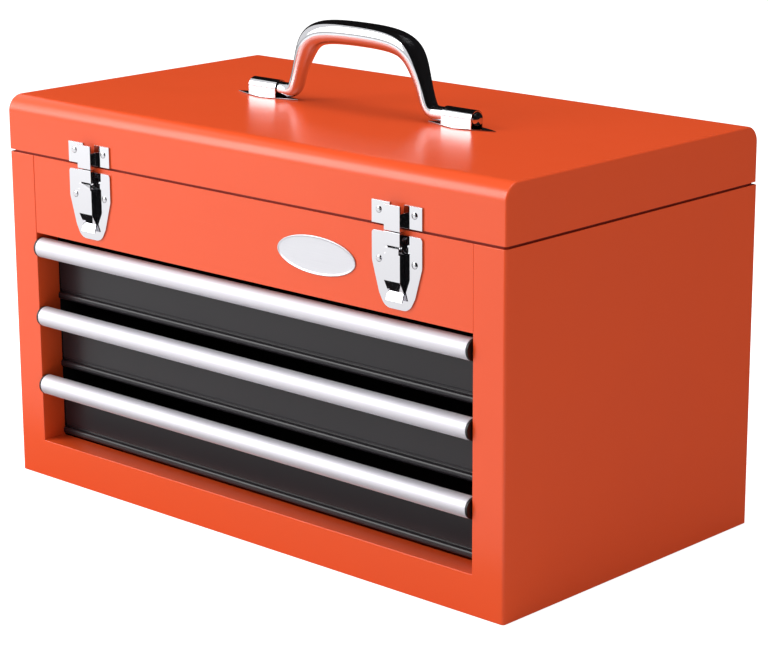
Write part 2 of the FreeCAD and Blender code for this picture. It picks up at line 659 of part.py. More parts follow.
def make_handle():
    """Swinging bail with a thick grip, held by two saddles on pointed plates."""
    axis = size(BAR_Z)
    line = bail_line()
    length = line.length()
    slim, leg, grip = size("bar_radius"), size("leg_radius"), size("grip_radius")
    rings = []
    for number in range(BAIL_SECTIONS + 1):
        share = number / BAIL_SECTIONS
        spot = line.parameterAtDistance(share * length, line.FirstParameter)
        root = slim + (leg - slim) * ease(share / LEG_SHARE)
        swell = ease((share - SWELL_START_SHARE) / (SWELL_END_SHARE - SWELL_START_SHARE))
        radius = root + (grip - root) * swell
        way = line.tangent(spot)[0]
        level = FreeCAD.Vector(0, 1, 0)
        turn = FreeCAD.Rotation(level, way.cross(level), way, "ZXY")
        ring = Part.Wire(Part.Circle(FreeCAD.Vector(), FreeCAD.Vector(0, 0, 1), radius).toShape())
        ring.Placement = FreeCAD.Placement(line.value(spot), turn)
        rings.append(ring)
    half = Part.makeLoft(rings, True, True)
    other = half.mirror(FreeCAD.Vector(), FreeCAD.Vector(1, 0, 0))
    start, reach = size("bail_bend_start"), size("saddle_from + saddle_length + bar_overhang")
    whole = half.fuse(other)
    for side in (1, -1):
        way = FreeCAD.Vector(side, 0, 0)
        bar = Part.makeCylinder(slim, reach - start,
                                FreeCAD.Vector(side * start, -size("handle_forward"), axis), way)
        ends = [edge for edge in bar.Edges if isinstance(edge.Curve, Part.Circle)
                and abs(edge.Curve.Center.x - side * reach) < size("pin_play")]
        whole = whole.fuse(bar.makeFillet(slim * KNOB_SHARE, ends))
    keep("handle_bail", solid("handle_bail", whole.removeSplitter()))

    for hand, sign in (("left", "-"), ("right", "")):
        middle = "%s(saddle_from + saddle_length/2)" % sign
        spots = [(along, wide) for along, wide in LENS_SHARES]
        ring = spots + [(along, -wide) for along, wide in reversed(spots[:-1])]
        ring += [(-along, -wide) for along, wide in spots[1:]]
        ring += [(-along, wide) for along, wide in spots[1:-1][::-1]]
        corners = [("%s + plate_length/2*(%s)" % (middle, along),
                    "plate_width/2*(%s) - handle_forward" % wide)
                   for along, wide in ring]
        plate = prism("saddle_plate_" + hand, "XY", corners, LID_TOP, LID_TOP + " + plate_wall")
        span = ("%s - saddle_length/2" % middle, "%s + saddle_length/2" % middle)
        inner = "(bar_radius + pin_play)"
        outer = "(%s + saddle_wall)" % inner
        strap = box("saddle_legs_" + hand, span, ("-handle_forward - " + outer, "-handle_forward + " + outer),
                    (LID_TOP, BAR_Z))
        arch = rod("saddle_arch_" + hand, "X", span[0], span[1], ("-handle_forward", BAR_Z), outer)
        long = ("%s - overrun" % span[0], "%s + overrun" % span[1])
        bore = rod("saddle_bore_" + hand, "X", long[0], long[1], ("-handle_forward", BAR_Z), inner)
        slot = box("saddle_slot_" + hand, long, ("-handle_forward - " + inner, "-handle_forward + " + inner),
                   (LID_TOP + " + plate_wall", BAR_Z))
        blank = fuse("saddle_blank_" + hand, plate, strap, arch)
        keep("handle_saddle_" + hand, cut("handle_saddle_" + hand, blank, bore, slot))


def out(distance):
    """A place in front of the case, as a formula."""
    return "(-case_depth/2 - (%s))" % distance


def flat(name, middle, half, near, far, low, high):
    """A plate in front of the case: its half width about middle, its distances out, its heights."""
    return box(name, ("%s - (%s)" % (middle, half), "%s + (%s)" % (middle, half)),
               (out(far), out(near)), (low, high))


def strips(name, middle, inner, outer, near, far, low, high):
    """A left and a right strip at the same distance from middle."""
    return [box("%s_%d" % (name, number), span, (out(far), out(near)), (low, high))
            for number, span in enumerate((("%s - (%s)" % (middle, outer), "%s - (%s)" % (middle, inner)),
                                           ("%s + (%s)" % (middle, inner), "%s + (%s)" % (middle, outer))))]


def across(name, middle, half, height, radius):
    """A round bar across the latch at the pivots' distance out."""
    return rod(name, "X", "%s - (%s)" % (middle, half), "%s + (%s)" % (middle, half),
               (out("pivot_out"), height), radius)


def make_latch(hand, middle):
    """Draw latch: keeper on the lid, base plate and lever on the case, claw on the lever."""
    inside = "hump_half - hump_wall"
    ears = "ear_inner + ear_wall"
    arms = ("hump_half - hump_wall - arm_gap - arm_wall", "hump_half - hump_wall - arm_gap")
    play = "latch_pin + pin_play"

    wings = flat("keeper_wings_" + hand, middle, "latch_half", "0", "latch_wall", KEEPER_LOW, KEEPER_HIGH)
    gap = flat("keeper_gap_" + hand, middle, inside, "-overrun", "hump_out + overrun",
               KEEPER_LOW + " - overrun",
               KEEPER_HIGH + " + overrun")
    cheeks = strips("keeper_cheek_" + hand, middle, inside, "hump_half", "0", "hump_out",
                    HUMP_LOW, HUMP_HIGH + " - cheek_drop")
    face = flat("keeper_face_" + hand, middle, "hump_half", "hump_out - hump_wall", "hump_out",
                HUMP_LOW, HUMP_HIGH)
    bridge = flat("keeper_bridge_" + hand, middle, "hump_half", "tongue_out - tongue_wall", "hump_out",
                  HUMP_LOW + " + overrun", HUMP_LOW + " + overrun + hump_wall")
    tongue = flat("keeper_tongue_" + hand, middle, "tongue_half", "tongue_out - tongue_wall", "tongue_out",
                  TONGUE_LOW, HUMP_LOW + " + overrun + hump_wall")
    nib = flat("keeper_nib_" + hand, middle, "tongue_half", "tongue_out", "nib_out", NIB_LOW, NIB_HIGH)
    tools = [hole("keeper_hole_%s_%d" % (hand, number), "%s %s latch_rivet_half" % (middle, side),
                  KEEPER_RIVET, (out("latch_wall + overrun"), out("-overrun")))
             for number, side in enumerate("-+")]
    sides = cut("keeper_sides_" + hand, wings, gap, *tools)
    keep("latch_keeper_" + hand, fuse("latch_keeper_" + hand, sides, *cheeks, face, bridge, tongue, nib))

    def foot(half, height, sign):
        return ("%s %s %s" % (middle, sign, half), height)
    shield = prism("base_shield_" + hand, "XZ", (
        foot("latch_half", BASE_HIGH, "-"), foot("latch_half", BASE_SHOULDER, "-"),
        foot("base_waist_half", BASE_WAIST, "-"), foot("base_foot_half", BASE_LOW, "-"),
        foot("base_foot_half", BASE_LOW, "+"), foot("base_waist_half", BASE_WAIST, "+"),
        foot("latch_half", BASE_SHOULDER, "+"), foot("latch_half", BASE_HIGH, "+")),
        out("latch_wall"), out("0"),
        (((1, 6), "base_foot_half"), ((3, 4), "base_foot_half*%s" % TOE_ROUND_SHARE),
         ((0, 7), "base_corner")))
    tools = [hole("base_hole_%s_%d" % (hand, number), "%s %s latch_rivet_half" % (middle, side),
                  BASE_RIVET, (out("latch_wall + overrun"), out("-overrun")))
             for number, side in enumerate("-+")]
    posts = strips("base_ear_" + hand, middle, "ear_inner", ears, "latch_wall/2", "pivot_out",
                   PIVOT + " - eye_radius", PIVOT + " + eye_radius")
    eye = across("base_eye_" + hand, middle, ears, PIVOT, "eye_radius")
    between = across("base_between_" + hand, middle, "ear_inner", PIVOT, "eye_radius + arm_gap")
    bore = across("base_bore_" + hand, middle, "hump_half", PIVOT, play)
    lugs = cut("base_lugs_" + hand, fuse("base_lug_blank_" + hand, *posts,
                                         cut("base_eyes_" + hand, eye, between)), bore)
    keep("latch_base_" + hand, fuse("latch_base_" + hand, cut("base_plate_" + hand, shield, *tools), lugs))

    front = prism("lever_side_" + hand, "YZ", (
        (out("hump_out"), LEVER_TOP), (out("hump_out"), LEVER_CORNER), (out("lever_waist_out"), LEVER_WAIST),
        (out("lever_tip_out"), LEVER_TIP), (out("lever_tip_out - hump_wall"), LEVER_TIP),
        (out("lever_waist_out - hump_wall"), LEVER_WAIST), (out("hump_out - hump_wall"), LEVER_CORNER),
        (out("hump_out - hump_wall"), LEVER_TOP)),
        "%s - hump_half" % middle, "%s + hump_half" % middle)
    trim = prism("lever_outline_" + hand, "XZ", (
        foot("hump_half", LEVER_SHOULDER, "-"), foot("hump_half", LEVER_TIP, "-"),
        foot("hump_half", LEVER_TIP, "+"), foot("hump_half", LEVER_SHOULDER, "+"),
        foot("(%s)" % arms[1], LEVER_SHOULDER, "+"), foot("(%s)" % arms[1], LEVER_TOP, "+"),
        foot("(%s)" % arms[1], LEVER_TOP, "-"), foot("(%s)" % arms[1], LEVER_SHOULDER, "-")),
        out("hump_out + overrun"), out("0"))
    skin = common("lever_skin_" + hand, front, trim)
    near = "latch_wall + arm_gap"
    flanges = [prism("lever_flange_%s_%d" % (hand, number), "YZ", (
        (out(near), FLANGE_TOP), (out(near), LEVER_WAIST),
        (out("lever_waist_out - hump_wall/2"), LEVER_WAIST),
        (out("hump_out - hump_wall/2"), LEVER_CORNER), (out("hump_out - hump_wall/2"), FLANGE_TOP)),
        start, end)
        for number, (start, end) in enumerate((("%s - hump_half" % middle,
                                                "%s - hump_half + hump_wall" % middle),
                                               ("%s + hump_half - hump_wall" % middle,
                                                "%s + hump_half" % middle)))]
    bars = strips("lever_arm_" + hand, middle, arms[0], arms[1], "pivot_out - eye_radius",
                  "hump_out - hump_wall/2",
                  ARM_LOW, LEVER_TOP)
    bars += strips("lever_link_" + hand, middle, arms[0], arms[1], "pivot_out - eye_radius",
                   "pivot_out + eye_radius",
                   ARM_LOW, PIVOT)
    ends = cut("lever_ends_" + hand, across("lever_eye_" + hand, middle, arms[1], PIVOT, "eye_radius"),
               across("lever_between_" + hand, middle, arms[0], PIVOT, "eye_radius + arm_gap"))
    webs = strips("lever_web_" + hand, middle, arms[0], "hump_half", "latch_wall + arm_gap",
                  "hump_out - hump_wall/2",
                  ARM_LOW, ARM_LOW + " + hump_wall")
    blank = fuse("lever_blank_" + hand, skin, *flanges, *bars, *webs, ends)
    keep("latch_lever_" + hand, cut("latch_lever_" + hand, blank,
         across("lever_bore_" + hand, middle, "hump_half", PIVOT, play),
         across("lever_link_bore_" + hand, middle, arms[1] + " + arm_gap/2", LINK, play)))

    near = "hump_out - claw_skirt"
    claw_face = flat("claw_face_" + hand, middle, "hump_half", "hump_out - hump_wall", "hump_out",
                     CLAW_LOW, CLAW_TOP)
    lip = flat("claw_lip_" + hand, middle, "hump_half", near, "hump_out", CLAW_TOP + " - claw_lip", CLAW_TOP)
    skirts = strips("claw_skirt_" + hand, middle, inside, "hump_half", near, "hump_out", CLAW_LOW, CLAW_TOP)
    links = strips("claw_link_" + hand, middle, inside, "hump_half", "pivot_out - eye_radius", near,
                   LINK, CLAW_LOW + " + eye_radius")
    rounds = cut("claw_rounds_" + hand, across("claw_eye_" + hand, middle, "hump_half", LINK, "eye_radius"),
                 across("claw_between_" + hand, middle, inside, LINK, "eye_radius + arm_gap"))
    joint = across("claw_bore_" + hand, middle, "hump_half + overrun", LINK, "latch_pin")
    blank = fuse("claw_blank_" + hand, claw_face, lip, *skirts, *links, rounds)
    keep("latch_claw_" + hand, cut("latch_claw_" + hand, blank, joint))
    keep("latch_claw_pin_" + hand, across("latch_claw_pin_" + hand, middle, "hump_half", LINK, "latch_pin"))
    return across("lever_pin_" + hand, middle, arms[1], PIVOT, "latch_pin")


def make_latches():
    """Both latches, with the rivets and pins that they share by body."""
    pins = [make_latch(hand, middle) for hand, middle in (("left", "-" + LATCH_X), ("right", LATCH_X))]
    keep("latch_lever_pins", group("latch_lever_pins", *pins))
    for place, height in (("lid", KEEPER_RIVET), ("case", BASE_RIVET)):
        keep("latch_rivets_" + place, group("latch_rivets_" + place, *[
            rivet("latch_rivet_%s_%d" % (place, number), x, out("latch_wall"), height,
                  "wall + latch_wall", "+")
            for number, x in enumerate(latch_rivet_places())]))


def make_badge():
    """A bare oval plate on the front rail."""
    oval = doc.addObject("Part::Ellipse", "badge_outline")
    oval.setExpression("MajorRadius", bound("badge_half_width"))
    oval.setExpression("MinorRadius", bound("badge_half_height"))
    oval.Placement = FreeCAD.Placement(FreeCAD.Vector(), FreeCAD.Rotation(FreeCAD.Vector(1, 0, 0), 90))
    for axis, place in (("x", LATCH_X + " - badge_latch_gap"), ("y", FRONT),
                        ("z", "seam_height - badge_drop")):
        oval.setExpression("Placement.Base." + axis, bound(place))
    plate = doc.addObject("Part::Extrusion", "badge_plate")
    plate.Base = oval
    plate.DirMode = "Custom"
    plate.Dir = FreeCAD.Vector(0, -1, 0)
    plate.setExpression("LengthFwd", bound("badge_wall"))
    plate.Solid = True
    keep("badge_plate", plate)


def make_stays():
    """Slotted arm on a lid rivet and a case stud, both as far from the hinge as each other."""
    lid_turn, case_turn = math.radians(size("stay_lid_angle")), math.radians(size("stay_case_angle"))
    opened = math.radians(size("lid_open_angle"))
    hinge = FreeCAD.Vector(0, size(HINGE_Y), size(HINGE_Z))
    reach, half = size("stay_radius"), size("stay_half")
    lid_pivot = hinge + FreeCAD.Vector(0, reach * math.cos(lid_turn), reach * math.sin(lid_turn))
    stud = hinge + FreeCAD.Vector(0, reach * math.cos(case_turn), reach * math.sin(case_turn))
    near = 2 * reach * math.sin((case_turn - lid_turn) / 2)
    far = 2 * reach * math.sin((case_turn - lid_turn + opened) / 2)
    way = (stud - lid_pivot).normalize()
    aside = FreeCAD.Vector(0, -way.z, way.y)
    thick, play = size("stay_wall"), size("stay_play")
    radius, head = size("stud_radius"), size("stud_head")
    inner = size("case_width/2 - wall")
    plane = inner - size("stay_inset")

    def slab(start, end, wide, low, high):
        """A long plate with round ends, from start to end along the arm."""
        spots = [lid_pivot + way * place + aside * (turn * wide) for place, turn in
                 ((start, 1), (end, 1), (end, -1), (start, -1))]
        spots = [FreeCAD.Vector(low, spot.y, spot.z) for spot in spots]
        tips = [FreeCAD.Vector(low, spot.y, spot.z) for spot in
                (lid_pivot + way * (end + wide), lid_pivot + way * (start - wide))]
        edges = [Part.LineSegment(spots[0], spots[1]), Part.Arc(spots[1], tips[0], spots[2]),
                 Part.LineSegment(spots[2], spots[3]), Part.Arc(spots[3], tips[1], spots[0])]
        outline = Part.Wire([edge.toShape() for edge in edges])
        return Part.Face(outline).extrude(FreeCAD.Vector(high - low, 0, 0))

    across_x = FreeCAD.Vector(1, 0, 0)
    over = size("overrun")
    rivets, studs = [], []
    for hand, side in (("left", -1), ("right", 1)):
        low, high = sorted((side * (plane - thick), side * plane))
        arm = slab(0, far, half, low, high)
        slot = slab(near - play, far, radius + play, low - over, high + over)
        eye = Part.makeCylinder(radius + size("pin_play"), thick + 2 * over,
                                FreeCAD.Vector(low - over, lid_pivot.y, lid_pivot.z), across_x)
        keep("lid_stay_" + hand, solid("lid_stay_" + hand, arm.cut(slot).cut(eye)))
        for spot, pile in ((lid_pivot, rivets), (stud, studs)):
            tip = plane - thick - play
            base = FreeCAD.Vector(side * (tip - size("stud_head_wall")), spot.y, spot.z)
            away = FreeCAD.Vector(side, 0, 0)
            shank = Part.makeCylinder(radius, inner - base.x * side, base, away)
            cap = Part.makeCylinder(head, size("stud_head_wall"), base, away)
            pile.append(shank.fuse(cap).removeSplitter())
    keep("stay_rivets_lid", solid("stay_rivets_lid", Part.Compound(rivets)))
    keep("stay_studs_case", solid("stay_studs_case", Part.Compound(studs)))


def write():
    """Check every object and each sub-part's shape, then write one file per node."""
    doc.recompute()
    faults = [thing.Name for thing in doc.Objects if {"Invalid", "Error"} & set(thing.State)]
    faults += [name for name, thing in parts.items() if thing.Shape.isNull() or not thing.Shape.isValid()]
    if faults:
        raise ValueError("faulty objects: " + ", ".join(faults))
    os.makedirs("parts", exist_ok=True)
    for name, thing in parts.items():
        thing.Shape.exportStep("parts/%s.step" % name)
        box = thing.Shape.BoundBox
        print("%-24s %2d solids %9.1f mm3  x %7.1f %7.1f  y %7.1f %7.1f  z %6.1f %6.1f" % (
            name, len(thing.Shape.Solids), thing.Shape.Volume, box.XMin, box.XMax, box.YMin, box.YMax,
            box.ZMin, box.ZMax))


make_case()
make_lid()
make_hinge()
for step, level in enumerate(LEVELS):
    make_drawer(level, step)
make_handle()
make_latches()
make_badge()
make_stays()
write()
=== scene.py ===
"""Dress of the portable steel tool box: finishes, rounded pieces, camera, lamps and floor."""
import json
import math

import bmesh
import bpy
import numpy as np
from mathutils import Matrix, Vector


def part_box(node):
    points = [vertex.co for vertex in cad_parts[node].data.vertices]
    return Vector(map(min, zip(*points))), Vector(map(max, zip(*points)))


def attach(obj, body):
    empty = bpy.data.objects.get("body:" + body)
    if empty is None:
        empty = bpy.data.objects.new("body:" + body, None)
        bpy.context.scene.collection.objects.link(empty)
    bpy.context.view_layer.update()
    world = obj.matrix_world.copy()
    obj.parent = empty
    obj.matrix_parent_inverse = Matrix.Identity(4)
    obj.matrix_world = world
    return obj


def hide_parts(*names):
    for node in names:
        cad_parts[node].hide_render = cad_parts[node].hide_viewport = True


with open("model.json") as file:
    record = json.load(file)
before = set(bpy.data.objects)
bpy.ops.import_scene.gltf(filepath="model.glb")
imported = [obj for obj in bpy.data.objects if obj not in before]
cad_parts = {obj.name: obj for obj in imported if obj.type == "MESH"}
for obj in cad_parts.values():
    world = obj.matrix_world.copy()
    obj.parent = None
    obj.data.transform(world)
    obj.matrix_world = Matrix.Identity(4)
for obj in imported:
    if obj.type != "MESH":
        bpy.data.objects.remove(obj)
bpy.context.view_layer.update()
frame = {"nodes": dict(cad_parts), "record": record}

# Sizes in millimetres, as in the construction
WIDTH, DEPTH = 520.0, 288.0
FRONT, BACK = -DEPTH / 2, DEPTH / 2
LID_LOW, LID_TOP, LID_BEND, LID_CORNER = 269.0, 312.0, 13.0, 1.6
SHEET = 1.0
LEVELS = ("bottom", "middle", "top")
# Turning axis of the bail
AXIS_HEIGHT, AXIS_FORWARD = 319.6, -9.0


def make_camera():
    """The photograph's view: a long lens, 43 degrees round to the right and 15 degrees down."""
    sensor, lens = 36.0, 118.286
    place, round_right, down, roll = (1.3140306, -1.3936518, 0.6529515), 43.0046, 14.9351, -0.2603
    data = bpy.data.cameras.new("camera")
    data.sensor_fit, data.sensor_width, data.lens = "HORIZONTAL", sensor, lens
    data.clip_start, data.clip_end = 0.05, 30.0
    camera = bpy.data.objects.new("camera", data)
    turn = (Matrix.Rotation(math.radians(round_right), 4, "Z")
            @ Matrix.Rotation(math.radians(90.0 - down), 4, "X")
            @ Matrix.Rotation(math.radians(roll), 4, "Z"))
    camera.matrix_world = Matrix.Translation(place) @ turn
    bpy.context.scene.collection.objects.link(camera)
    bpy.context.scene.camera = camera
    bpy.context.scene.view_settings.view_transform = "Standard"


make_camera()


# Finishes

def linear(code):
    """Turn an sRGB hex code into linear red, green, blue and full alpha."""
    shares = np.array([int(code[place:place + 2], 16) for place in (1, 3, 5)]) / 255
    curve = np.where(shares <= 0.04045, shares / 12.92, ((shares + 0.055) / 1.055) ** 2.4)
    return (*curve.tolist(), 1.0)


def per_metre(millimetres):
    """The scale of a pattern whose cells are this wide."""
    return 1000.0 / millimetres


def add(tree, kind, links=(), **settings):
    """Add a node, set its sockets by name or its own settings, and link other nodes' outputs in."""
    node = tree.nodes.new(kind)
    for name, value in settings.items():
        if hasattr(node, name):
            setattr(node, name, value)
        else:
            node.inputs[name.replace("_", " ")].default_value = value
    for socket, output in dict(links).items():
        tree.links.new(output, node.inputs[socket])
    return node


def finish_named(name, colour, roughness, metallic=0.0, **sockets):
    """A new material with one shader, and the node tree that its patterns go into."""
    material = bpy.data.materials.new(name)
    material.use_nodes = True
    tree = material.node_tree
    shader = tree.nodes["Principled BSDF"]
    for socket, value in {"Base Color": linear(colour), "Roughness": roughness, "Metallic": metallic,
                          **sockets}.items():
        shader.inputs[socket].default_value = value
    place = add(tree, "ShaderNodeTexCoord").outputs["Object"]
    return material, tree, shader, place


def ramp(tree, factor, low, high, start, end):
    """Map a factor between start and end to a value between low and high."""
    return add(tree, "ShaderNodeMapRange", {"Value": factor}, From_Min=start, From_Max=end, To_Min=low,
               To_Max=high).outputs["Result"]


def bump(tree, shader, height, distance, strength):
    """Raise the surface by a height pattern of so many millimetres."""
    node = add(tree, "ShaderNodeBump", {"Height": height}, Distance=distance / 1000.0, Strength=strength)
    tree.links.new(node.outputs["Normal"], shader.inputs["Normal"])


def tint(tree, shader, factor, first, second):
    """Blend the base colour between two near shades by a pattern, through the mix's colour sockets."""
    mix = add(tree, "ShaderNodeMix", data_type="RGBA")
    tree.links.new(factor, mix.inputs[0])
    ends = [socket for socket in mix.inputs if socket.type == "RGBA"]
    for socket, shade in zip(ends, (first, second)):
        socket.default_value = linear(shade)
    colour = [socket for socket in mix.outputs if socket.type == "RGBA"][0]
    tree.links.new(colour, shader.inputs["Base Color"])


def powder_coat(name, colour, second, roughness, gloss=0.5):
    """Powder sprayed on sheet steel and baked: an even colour under a soft, faintly rippled shine.

    The ripple is the orange peel of the melted powder. The colour and the shine drift a very little
    over a hand's breadth, as the thickness of the coat does.
    """
    peel, drift = 2.2, 60.0
    material, tree, shader, place = finish_named(name, colour, roughness, **{"Specular IOR Level": gloss})
    fine = add(tree, "ShaderNodeTexNoise", {"Vector": place}, Scale=per_metre(peel), Detail=2.0)
    broad = add(tree, "ShaderNodeTexNoise", {"Vector": place}, Scale=per_metre(drift), Detail=2.0)
    tint(tree, shader, broad.outputs["Fac"], colour, second)
    tree.links.new(ramp(tree, broad.outputs["Fac"], roughness - 0.04, roughness + 0.04, 0, 1),
                   shader.inputs["Roughness"])
    bump(tree, shader, fine.outputs["Fac"], 0.02, 0.15)
    return material


def brushed(name, colour, second, roughness, along, grain, metallic=1.0):
    """Satin aluminium: hair lines along one axis, which blur a highlight into a soft streak.

    Real hair lines are finer than a tenth of a millimetre. They are drawn coarser, so that they show.
    """
    line_length = grain * 120
    material, tree, shader, place = finish_named(name, colour, roughness, metallic)
    stretch = [per_metre(grain)] * 3
    stretch["xyz".index(along)] = per_metre(line_length)
    lines = add(tree, "ShaderNodeMapping", {"Vector": place}, Scale=stretch)
    hair = add(tree, "ShaderNodeTexNoise", {"Vector": lines.outputs["Vector"]}, Scale=1.0, Detail=3.0)
    tint(tree, shader, hair.outputs["Fac"], colour, second)
    tree.links.new(ramp(tree, hair.outputs["Fac"], roughness - 0.06, roughness + 0.06, 0.3, 0.7),
                   shader.inputs["Roughness"])
    bump(tree, shader, hair.outputs["Fac"], 0.01, 0.25)
    return material


def chrome_plate():
    """Bright chrome on pressed steel: a mirror of hard light and dark, bent a little by the pressing."""
    ripple_width, haze_width = 14.0, 5.0
    material, tree, shader, place = finish_named("chrome_plate", "#D2D2D6", 0.05, metallic=1.0)
    ripple = add(tree, "ShaderNodeTexNoise", {"Vector": place}, Scale=per_metre(ripple_width), Detail=1.0)
    haze = add(tree, "ShaderNodeTexNoise", {"Vector": place}, Scale=per_metre(haze_width), Detail=3.0)
    tree.links.new(ramp(tree, haze.outputs["Fac"], 0.03, 0.09, 0.35, 0.75), shader.inputs["Roughness"])
    bump(tree, shader, ripple.outputs["Fac"], 0.08, 0.25)
    return material


def zinc_steel():
    """Zinc plated sheet: dull grey metal whose plating varies in patches a few millimetres wide."""
    patch_width = 4.0
    material, tree, shader, place = finish_named("zinc_plate", "#B4B4AE", 0.4, metallic=0.6)
    patch = add(tree, "ShaderNodeTexVoronoi", {"Vector": place}, Scale=per_metre(patch_width))
    tint(tree, shader, patch.outputs["Distance"], "#BCBCB6", "#A2A29C")
    tree.links.new(ramp(tree, patch.outputs["Distance"], 0.32, 0.46, 0.0, 0.8), shader.inputs["Roughness"])
    return material


def moulded_plastic():
    """Black moulded polypropylene: matt, with an even spark-eroded grain, drawn coarser to show."""
    grain_width = 0.5
    material, tree, shader, place = finish_named("black_plastic", "#0F0F10", 0.45)
    grain = add(tree, "ShaderNodeTexNoise", {"Vector": place}, Scale=per_metre(grain_width), Detail=2.0)
    tree.links.new(ramp(tree, grain.outputs["Fac"], 0.38, 0.52, 0.3, 0.7), shader.inputs["Roughness"])
    bump(tree, shader, grain.outputs["Fac"], 0.03, 0.4)
    return material


# The finish of each material slot, and the lip's darker red of painted shade: two near shades, roughness
# and what else it takes
FINISHES = {
    "case_paint": powder_coat("orange_powder_coat", "#EF5626", "#ED5323", 0.3),
    # The lip's darker red is painted shade, for the seam between lid and case
    "lip_painted_shade": powder_coat("dark_red_painted_shade", "#B22C14", "#A82912", 0.5),
    "drawer_paint": powder_coat("charcoal_powder_coat", "#221F23", "#1F1C20", 0.3, gloss=0.36),
    "pull_aluminium": brushed("satin_aluminium", "#E3E1E8", "#DAD8DF", 0.5, "x", 0.35, metallic=0.5),
    "cap_plastic": moulded_plastic(),
    "zinc_steel": zinc_steel(),
    "chrome": chrome_plate(),
    "badge_metal": brushed("satin_badge", "#D8D8DC", "#CDCDD3", 0.34, "x", 0.3),
}


# Making pieces

def weld(mesh, near=1e-6):
    """Join the points that meet, drop empty faces and turn every face outwards."""
    work = bmesh.new()
    work.from_mesh(mesh)
    bmesh.ops.remove_doubles(work, verts=work.verts, dist=near)
    bmesh.ops.dissolve_degenerate(work, edges=work.edges, dist=near)
    bmesh.ops.recalc_face_normals(work, faces=work.faces)
    if work.calc_volume(signed=True) < 0:
        bmesh.ops.reverse_faces(work, faces=work.faces)
    work.to_mesh(mesh)
    work.free()


def even_flats(piece):
    """Weight the shading by face area, so that flat sheet stays flat beside its bends."""
    flats = piece.modifiers.new("even_flats", "WEIGHTED_NORMAL")
    flats.keep_sharp, flats.mode, flats.weight = True, "FACE_AREA", 60


def dress(name, mesh, body, slot, nodes=(), bevel=0.0, segments=2, sharp=35.0, even=False):
    """Link a mesh as a finished piece: smooth faces, an optional rounded edge, body and finish."""
    mesh.shade_smooth()
    mesh.set_sharp_from_angle(angle=math.radians(sharp))
    piece = bpy.data.objects.new(name, mesh)
    bpy.context.scene.collection.objects.link(piece)
    mesh.materials.clear()
    mesh.materials.append(FINISHES[slot])
    if bevel:
        rounding = piece.modifiers.new("rounded_edges", "BEVEL")
        rounding.width, rounding.segments = bevel / 1000.0, segments
        rounding.limit_method, rounding.angle_limit = "ANGLE", math.radians(sharp)
        rounding.harden_normals = True
    if even:
        even_flats(piece)
    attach(piece, body)
    if nodes:
        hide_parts(*nodes)
    return piece


def from_grids(name, grids):
    """One welded mesh from grids of points in millimetres, each rows by columns by three."""
    points, faces, start = [], [], 0
    for grid in grids:
        rows, columns = grid.shape[:2]
        number = start + np.arange(rows * columns).reshape(rows, columns)
        corners = [number[:-1, :-1], number[1:, :-1], number[1:, 1:], number[:-1, 1:]]
        faces.append(np.stack(corners, -1).reshape(-1, 4))
        points.append(grid.reshape(-1, 3))
        start += rows * columns
    mesh = bpy.data.meshes.new(name)
    mesh.from_pydata((np.concatenate(points) / 1000.0).tolist(), [], np.concatenate(faces).tolist())
    weld(mesh)
    return mesh


def copy_of(name, *nodes):
    """One merged mesh of the construction's own nodes, with its flat faces in one piece each."""
    work = bmesh.new()
    for node in nodes:
        work.from_mesh(frame["nodes"][node].data)
    bmesh.ops.remove_doubles(work, verts=work.verts, dist=1e-6)
    bmesh.ops.dissolve_limit(work, angle_limit=math.radians(0.5), verts=work.verts, edges=work.edges)
    mesh = bpy.data.meshes.new(name)
    work.to_mesh(mesh)
    work.free()
    return mesh


def carried(profile, xs):
    """A grid: a profile of (y, z) points carried along X through the stations xs."""
    grid = np.empty((len(xs), len(profile), 3))
    grid[..., 0] = np.asarray(xs)[:, None]
    grid[..., 1:] = np.asarray(profile)[None]
    return grid


def band(outer, inner, start, end):
    """The six sides of a bent sheet: outer and inner profile, their two long edges and two ends."""
    outer, inner = np.asarray(outer, float), np.asarray(inner, float)
    edges = [np.stack([outer[end_point], inner[end_point]]) for end_point in (0, -1)]
    sides = [carried(line, (start, end)) for line in (outer, inner, *edges)]
    for x in (start, end):
        pair = np.stack([outer, inner])
        sides.append(np.concatenate([np.full(pair.shape[:2] + (1,), x), pair], -1))
    return sides


def arc(centre, radius, first, last, count):
    """Points of an arc in the YZ plane, angles in degrees from +Y towards +Z."""
    turn = np.radians(np.linspace(first, last, count))
    return np.stack([centre[0] + radius * np.cos(turn), centre[1] + radius * np.sin(turn)], -1)


# Lid

def lid_outline(inset):
    """The lid's front to back outline: up, a quarter turn, across, a quarter turn and down."""
    steps = 16
    rise = arc((FRONT + LID_BEND, LID_TOP - LID_BEND), LID_BEND - inset, 180, 90, steps)
    fall = arc((BACK - LID_BEND, LID_TOP - LID_BEND), LID_BEND - inset, 90, 0, steps)
    return np.concatenate([[[FRONT + inset, LID_LOW]], rise, fall, [[BACK - inset, LID_LOW]]])


def make_lid():
    """Shell of the outline carried along X, closed by flat ends.

    Near each end the outline shrinks by corner times (1 - cos t) at corner times (1 - sin t) from the
    end, for t from a quarter turn to 0. The sheet's thickness is added inwards.
    """
    turn = np.radians(np.linspace(90, 0, 6))
    xs = -WIDTH / 2 + LID_CORNER * (1 - np.sin(turn))
    insets = LID_CORNER * (1 - np.cos(turn))
    stations = np.concatenate([xs, -xs[::-1]])
    insets = np.concatenate([insets, insets[::-1]])
    wrap = np.stack([carried(lid_outline(inset), (x,))[0] for x, inset in zip(stations, insets)])
    half = wrap.shape[1] // 2
    ends = [np.stack([row[:half], row[::-1][:half]]) for row in (wrap[0], wrap[-1])]
    piece = dress("lid_skin", from_grids("lid_skin", [wrap, *ends]), "lid", "case_paint",
                  ("lid_shell", "lid_end_left", "lid_end_right"))
    wall = piece.modifiers.new("sheet", "SOLIDIFY")
    wall.thickness, wall.offset = SHEET / 1000.0, -1.0
    even_flats(piece)


make_lid()


# Case and drawers

